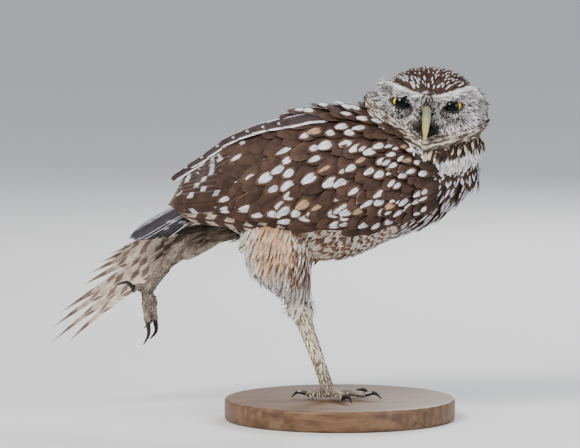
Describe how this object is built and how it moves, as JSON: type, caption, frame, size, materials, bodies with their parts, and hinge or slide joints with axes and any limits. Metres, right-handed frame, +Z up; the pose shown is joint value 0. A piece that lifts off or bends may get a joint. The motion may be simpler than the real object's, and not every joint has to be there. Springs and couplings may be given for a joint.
{
  "type": "burrowing owl model",
  "caption": "Life-size still model of a burrowing owl stretching its far wing and leg back while it stands on one leg on a round base, its head turned to the side.",
  "frame": {"origin": "centre of the round base's underside, which rests on the floor", "axes": "+X the way the owl's body looks, along the model's longest extent; +Z up, away from the base; the face looks towards -Y"},
  "size_m": [0.2528, 0.132, 0.2026],
  "materials": {
    "plumage": "soft matt feathers, brown with pale spots and bars",
    "skin": "dull scaly skin of the toes",
    "bill": "smooth yellow-green horn",
    "claw": "polished black horn",
    "eye": "wet clear eye with a yellow iris",
    "base": "plain satin turned wood"
  },
  "bodies": {
    "root": {"stand_base": "base", "torso": "plumage", "neck": "plumage", "head": "plumage", "eye_right": "eye", "eye_left": "eye", "bill_upper": "bill", "bill_lower": "bill", "wing_right": "plumage", "wing_left_arm": "plumage", "wing_left_hand": "plumage", "tail": "plumage", "leg_right_thigh": "plumage", "leg_right_shank": "plumage", "leg_left_thigh": "plumage", "leg_left_shank": "plumage", "foot_right": "skin", "foot_left": "skin", "claw_right_inner": "claw", "claw_right_middle": "claw", "claw_right_outer": "claw", "claw_right_hind": "claw", "claw_left_inner": "claw", "claw_left_middle": "claw", "claw_left_outer": "claw", "claw_left_hind": "claw"}
  },
  "joints": []
}
